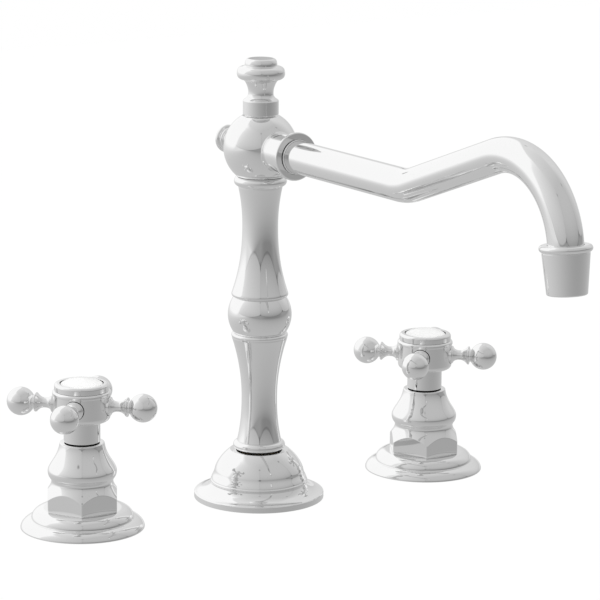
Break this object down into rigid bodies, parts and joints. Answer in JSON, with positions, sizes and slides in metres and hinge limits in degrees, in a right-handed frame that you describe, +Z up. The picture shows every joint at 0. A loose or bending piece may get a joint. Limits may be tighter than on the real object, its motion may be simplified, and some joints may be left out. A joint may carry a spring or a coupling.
{
  "type": "kitchen faucet",
  "caption": "Widespread kitchen faucet with a turned column, an arched swivelling spout and two cross handles with porcelain buttons.",
  "frame": {"origin": "on the middle deck hole's axis at the deck's top face, under the spout's column", "axes": "+X along the three deck holes from the hot valve to the cold valve, -Y the way the spout points, +Z up out of the deck"},
  "size_m": [0.2636, 0.2865, 0.3235],
  "materials": {
    "chrome": "polished",
    "porcelain": "glossy",
    "brass": "machined",
    "steel": "brushed",
    "rubber": "matte",
    "black_plastic": "matte",
    "white_plastic": "matte",
    "ceramic": "ground"
  },
  "bodies": {
    "deck_set": {"spout_flange": "chrome", "spout_gasket": "rubber", "spout_shank": "brass", "spout_o_rings": "rubber", "spout_glide_washer": "black_plastic", "spout_tee": "brass", "spout_deck_washer": "steel", "spout_deck_nut": "brass", "hot_flange": "chrome", "hot_gasket": "rubber", "hot_valve_body": "brass", "hot_bonnet": "chrome", "hot_cartridge": "brass", "hot_fixed_disc": "ceramic", "hot_seat_seal": "rubber", "hot_glide_washer": "black_plastic", "hot_deck_washer": "steel", "hot_deck_nut": "brass", "cold_flange": "chrome", "cold_gasket": "rubber", "cold_valve_body": "brass", "cold_bonnet": "chrome", "cold_cartridge": "brass", "cold_fixed_disc": "ceramic", "cold_seat_seal": "rubber", "cold_glide_washer": "black_plastic", "cold_deck_washer": "steel", "cold_deck_nut": "brass"},
    "spout": {"lower_column": "chrome", "set_screw": "steel", "middle_ball": "chrome", "upper_column": "chrome", "riser_tube": "brass", "hub_ball": "chrome", "rear_plug": "chrome", "tube_ring": "chrome", "tube_ferrule": "chrome", "spout_tube": "chrome", "finial": "chrome", "aerator_shell": "chrome", "aerator_gasket": "rubber", "aerator_insert": "white_plastic", "aerator_screen": "steel"},
    "hot_handle": {"hot_spindle": "brass", "hot_moving_disc": "ceramic", "hot_handle_hub": "chrome", "hot_handle_arms": "chrome", "hot_handle_screw": "steel", "hot_cap_ring": "chrome", "hot_button": "porcelain"},
    "cold_handle": {"cold_spindle": "brass", "cold_moving_disc": "ceramic", "cold_handle_hub": "chrome", "cold_handle_arms": "chrome", "cold_handle_screw": "steel", "cold_cap_ring": "chrome", "cold_button": "porcelain"}
  },
  "joints": [
    {"name": "spout_swivel", "type": "hinge", "parent": "deck_set", "child": "spout", "pos_m": [0, 0, 0.0255], "axis": [0, 0, 1], "continuous": true},
    {"name": "hot_handle_turn", "type": "hinge", "parent": "deck_set", "child": "hot_handle", "pos_m": [-0.1016, 0, 0.0447], "axis": [0, 0, 1], "range_deg": [0, 90]},
    {"name": "cold_handle_turn", "type": "hinge", "parent": "deck_set", "child": "cold_handle", "pos_m": [0.1016, 0, 0.0447], "axis": [0, 0, 1], "range_deg": [-90, 0]}
  ]
}
